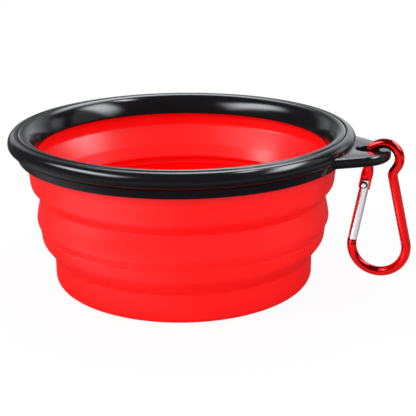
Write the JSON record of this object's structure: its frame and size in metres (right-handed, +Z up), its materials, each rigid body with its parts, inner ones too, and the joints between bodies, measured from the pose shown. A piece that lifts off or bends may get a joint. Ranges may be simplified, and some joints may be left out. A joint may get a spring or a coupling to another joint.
{
  "type": "collapsible bowl",
  "caption": "Round collapsible silicone bowl with a plastic rim, a hanging tab and a small spring-gate hook; its two folds turn inside out so that it presses flat.",
  "frame": {"origin": "centre of the flat underside of the base", "axes": "+Z up out of the bowl, +X towards the hanging tab"},
  "size_m": [0.1527, 0.13, 0.0602],
  "materials": {
    "silicone": "satin red silicone",
    "rim_plastic": "glossy black",
    "anodised": "glossy red anodised",
    "gate_metal": "bright satin",
    "spring_steel": "drawn wire"
  },
  "bodies": {
    "base": {"base_cup": "silicone", "lower_fold": "silicone"},
    "middle": {"middle_band": "silicone", "upper_fold": "silicone"},
    "rim": {"top_band": "silicone", "rim_frame": "rim_plastic", "rim_liner": "rim_plastic", "rim_clamp": "rim_plastic"},
    "hook": {"hook_body": "anodised"},
    "gate": {"gate_tube": "gate_metal", "gate_rivet": "gate_metal", "gate_spring": "spring_steel"},
    "plunger": {"spring_plunger": "spring_steel"}
  },
  "joints": [
    {"name": "lower_fold_slide", "type": "slide", "parent": "base", "child": "middle", "axis": [0, 0, -1], "range_m": [0, 0.0216], "deforming": ["lower_fold"]},
    {"name": "upper_fold_slide", "type": "slide", "parent": "middle", "child": "rim", "axis": [0, 0, -1], "range_m": [0, 0.0214], "deforming": ["upper_fold"]},
    {"name": "hook_swing", "type": "hinge", "parent": "rim", "child": "hook", "pos_m": [0.07635, 0, 0.0531], "axis": [0, -1, 0], "range_deg": [-12, 100]},
    {"name": "gate_hinge", "type": "hinge", "parent": "hook", "child": "gate", "pos_m": [0.07, 0, 0.0431], "axis": [0, -1, 0], "range_deg": [0, 38], "stiffness_Nm_per_rad": 0.01, "springref_deg": -8.59},
    {"name": "plunger_slide", "type": "slide", "parent": "gate", "child": "plunger", "axis": [-0.1645, 0, -0.9864], "range_m": [0, 0.0014], "deforming": ["gate_spring"]}
  ],
  "couplings": [
    {"joint": "plunger_slide", "follows": "gate_hinge", "m_per_rad": 0.002}
  ]
}
